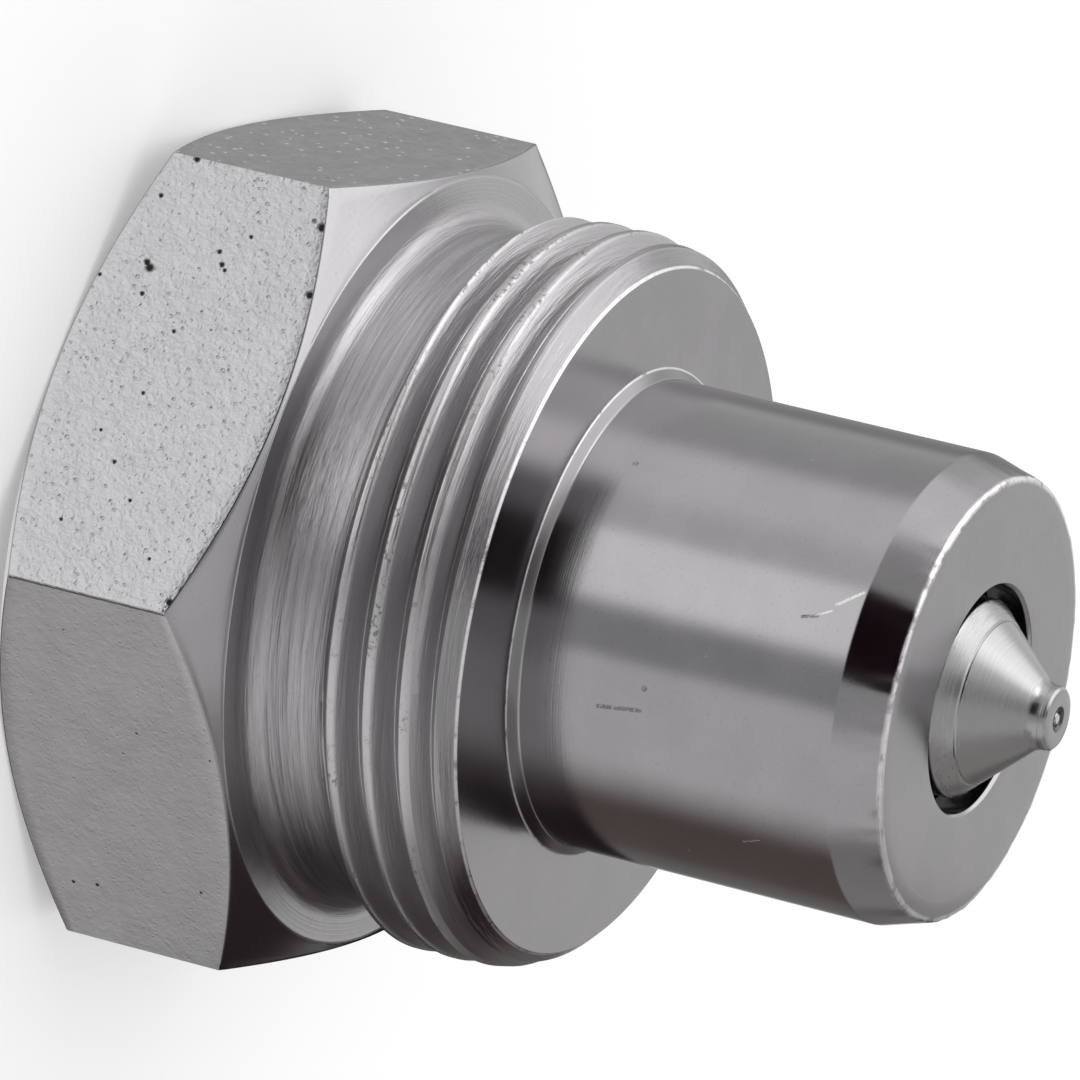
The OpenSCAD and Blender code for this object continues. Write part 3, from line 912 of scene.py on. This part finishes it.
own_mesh(spring_piece)

# %% [markdown]
# ## The pieces that keep their CAD mesh
# The guide, the retaining ring and the two rings of the seal already have their true shape, so
# they only get a finish: bright turned steel for the guide, dark phosphated spring steel for the
# ring, black rubber and off-white plastic for the seal.


# %% Finishes of the small pieces
def dark_steel():
    finish = Finish("phosphated_steel", Metallic=1.0)
    place = millimetres(finish)
    cloud = finish.noise(place, 2.5, 4, 0.6)
    colour = finish.mix(cloud, (0.07, 0.07, 0.075), (0.16, 0.155, 0.15))
    return finish.done(Base_Color=colour, Roughness=0.42 + 0.15 * cloud,
                       Normal=finish.bump(cloud, 0.006 * MM))


def soft_ring(name, dark, light, rough):
    finish = Finish(name)
    place = millimetres(finish)
    cloud = finish.noise(place, 4.0, 3, 0.6)
    colour = finish.mix(cloud, dark, light)
    return finish.done(Base_Color=colour, Roughness=rough + 0.1 * cloud,
                       Normal=finish.bump(cloud, 0.004 * MM))


def dress(node, material):
    """Give a CAD node's object a finish."""
    piece = frame["nodes"][node]
    if not piece.material_slots:
        piece.data.materials.append(None)
    for slot in piece.material_slots:
        slot.material = material
    print(node, "wears", material.name)


dress("valve_guide", bright_material)
dress("retaining_ring", dark_steel())
dress("poppet_seal", soft_ring("black_rubber", (0.02, 0.02, 0.02), (0.04, 0.04, 0.04), 0.45))
dress("seal_backup_ring", soft_ring("white_plastic", (0.78, 0.77, 0.73), (0.85, 0.84, 0.8), 0.4))

# %% [markdown]
# ## Floor
# The part stands on its rear face on a pale floor, which takes its soft shadow. The metal doesn't
# show the floor: in the photograph it shows the papers of a light tent on all sides, so they are
# part of the studio below.

# %% Floor
floor_size, floor_drop = 1.5, 0.01
floor = bmesh.new()
bmesh.ops.create_grid(floor, x_segments=1, y_segments=1, size=floor_size)
bmesh.ops.translate(floor, verts=floor.verts, vec=(0, 0, -floor_drop * MM))


def light_path(book, kind):
    """1 for rays of a kind and 0 for all others."""
    return Value(book, book.add("ShaderNodeLightPath").socket.node.outputs[kind])


def pale_floor():
    """White paper. The camera sees it a little brighter, so that it fades into the background.

    From below the camera sees through it, so that the port can be looked at.
    """
    finish = Finish("pale_floor", Roughness=0.9, Base_Color=(0.86, 0.86, 0.86),
                    Emission_Strength=0.18)
    camera_ray = light_path(finish, "Is Camera Ray")
    finish.done(Emission_Color=finish.mix(camera_ray, (0, 0, 0), (1, 1, 1)))
    geometry = finish.add("ShaderNodeNewGeometry").socket.node
    from_below = Value(finish, geometry.outputs["Backfacing"]) * camera_ray
    clear = finish.add("ShaderNodeBsdfTransparent")
    paper = Value(finish, finish.shader.outputs[0])
    mixed = finish.add("ShaderNodeMixShader", None, {0: from_below, 1: paper, 2: clear})
    finish.feed(finish.tree.nodes["Material Output"].inputs["Surface"], mixed)
    return finish.material


floor_piece = finish_piece(floor, "studio_floor", [pale_floor()])
floor_piece.visible_glossy = False

# %% [markdown]
# ## Two cards
# At the lower side of the photograph, the right side of the standing part, the neck and the thread
# are nearly black, though the nose isn't: something low and dark stood there. The poppet's cone
# shows something pale instead. Two bent cards do the same. Only glossy rays see them.


# %% Two cards
def bent_card(name, radius, left, right, low, high, base):
    """A card bent round the part, from one angle to another, that only glossy rays see."""
    card = bmesh.new()
    row = [card.verts.new(Vector(at_angle(radius, turn, low)) * MM)
           for turn in range(left, right + 1, 5)]
    strip = [card.edges.new(pair) for pair in zip(row, row[1:])]
    raised = bmesh.ops.extrude_edge_only(card, edges=strip)["geom"]
    bmesh.ops.translate(card, vec=(0, 0, (high - low) * MM),
                        verts=[item for item in raised if isinstance(item, bmesh.types.BMVert)])
    matt = Finish(name, Roughness=1.0, Base_Color=base, Specular_IOR_Level=0.0)
    piece = finish_piece(card, name, [matt.done()])
    for kind in ("camera", "diffuse", "shadow"):
        setattr(piece, "visible_" + kind, False)


bent_card("low_black_card", 26, 80, 165, 0.1, 11.8, (0.025, 0.015, 0.015))
bent_card("high_grey_card", 34, 60, 165, 42, 70, (0.55, 0.53, 0.52))

# %% [markdown]
# ## Camera
# The camera is a long lens, tipped over so that the part's axis lies across the picture, as in the
# photograph.

# %% Camera
camera = bpy.data.objects.new("camera", bpy.data.cameras.new("camera"))
bpy.context.scene.collection.objects.link(camera)
camera.data.lens = 362.1
camera.data.clip_start = 0.01
camera.location = (0.271031, 0.286686, 0.190684)
aim = Vector((0.001467, -0.001373, 0.015161))
turn = (aim - camera.location).to_track_quat("-Z", "Y")
camera.rotation_mode = "QUATERNION"
camera.rotation_quaternion = turn @ Quaternion((0, 0, 1), math.radians(103.70))
bpy.context.scene.camera = camera
print(f"camera {camera.location.length:.3f} m from the part, lens {camera.data.lens:.1f} mm")

# %% [markdown]
# ## The studio
# Polished metal has no colour of its own to speak of: it shows the room. The room is drawn in the
# world shader as a few soft-edged panels, each given by the azimuth and elevation that it covers
# as seen from the part, with the camera at azimuth 0. A large soft box stands on the left, a dark
# flag and the camera stand in front, and a dark cloth hangs on the right. The lower half stands
# for the papers round the part. Only glossy rays see the panels. All other rays meet a plain white
# world, which lights the floor and costs far less to work out, and as it is plain, its light needs
# no sampling of its own.

# %% Panels of the studio
scene = bpy.context.scene
scene.view_settings.view_transform = "Standard"
world = bpy.data.worlds.new("studio")
scene.world = world
world.use_nodes = True
room = NodeBook(world.node_tree)
camera_azimuth = math.atan2(camera.location.y, camera.location.x)
ray = room.add("ShaderNodeTexCoord", None, None, 0)
ray = room.add("ShaderNodeVectorRotate", {"rotation_type": "Z_AXIS"},
               {"Vector": ray, "Angle": -camera_azimuth})
ray_x = room.add("ShaderNodeSeparateXYZ", None, {0: ray}, 0)
ray_y = Value(room, ray_x.socket.node.outputs[1])
ray_z = Value(room, ray_x.socket.node.outputs[2])
azimuth = ray_y.maths("ARCTAN2", ray_y, ray_x) * (180 / math.pi)
elevation = ray_z.maths("ARCSINE", ray_z) * (180 / math.pi)

PANELS = [
    # name, azimuth from and to, its soft edge, elevation from and to, its soft edge, colour
    ("front truss", -30, 75, 30, 36, 72, 12, (0.72, 0.72, 0.72)),
    ("back wall, left", -220, -160, 20, 6, 42, 16, (0.86, 0.86, 0.86)),
    ("back wall, right", 160, 220, 20, 6, 42, 16, (0.86, 0.86, 0.86)),
    ("far left paper", -220, -138, 16, -60, -8, 14, (0.33, 0.33, 0.33)),
    ("low left paper", -140, -84, 24, -60, -8, 14, (0.70, 0.70, 0.70)),
    ("left paper", -92, -58, 16, -60, 5, 14, (1.20, 1.20, 1.20)),
    ("left horizon", -112, -72, 14, -12, 14, 10, (1.42, 1.42, 1.42)),
    ("soft box", -138, -68, 20, 17, 76, 16, (2.40, 2.40, 2.40)),
    ("boom", -44, 12, 10, 60, 84, 6, (0.20, 0.19, 0.20)),
    ("left gap", -64, -34, 12, -6, 34, 12, (0.60, 0.60, 0.60)),
    ("left window", -92, -62, 12, 15, 34, 10, (3.80, 3.80, 3.80)),
    ("bright paper", -38, -5, 8, -60, -14, 6, (1.60, 1.60, 1.60)),
    ("dark paper", -1, 22, 8, -60, -8, 6, (0.52, 0.52, 0.53)),
    ("camera stand", -4, 30, 20, -10, 40, 10, (0.64, 0.64, 0.64)),
    ("right shade", 88, 160, 34, -60, 40, 24, (0.17, 0.14, 0.13)),
    ("right canopy", 112, 168, 18, 12, 62, 14, (0.045, 0.03, 0.035)),
    ("far right shade", 140, 171, 10, -60, -6, 12, (0.20, 0.19, 0.185)),
    ("right horizon", 84, 180, 20, -13, 6, 10, (0.45, 0.44, 0.43)),
    ("far right horizon", 138, 184, 14, -13, 6, 10, (0.20, 0.19, 0.18)),
    ("camera flag", -38, 6, 2, -8, 44, 6, (0.014, 0.004, 0.008)),
]
light = (1.0, 1.0, 1.0)
for name, left, right, side_edge, bottom, top, end_edge, colour in PANELS:
    inside_sides = azimuth.rise(left - side_edge / 2, left + side_edge / 2) * (
        1 - azimuth.rise(right - side_edge / 2, right + side_edge / 2))
    inside_ends = elevation.rise(bottom - end_edge / 2, bottom + end_edge / 2) * (
        1 - elevation.rise(top - end_edge / 2, top + end_edge / 2))
    light = room.mix(inside_sides * inside_ends, light, colour)
panels = room.add("ShaderNodeBackground", None, {"Color": light})
plain = room.add("ShaderNodeBackground", None, {"Color": (1, 1, 1, 1)})
glossy_ray = light_path(room, "Is Glossy Ray")
room.feed(world.node_tree.nodes["World Output"].inputs["Surface"],
          room.add("ShaderNodeMixShader", None, {0: glossy_ray, 1: plain, 2: panels}))
world.cycles.sampling_method = "NONE"
print("studio panels:", len(PANELS))
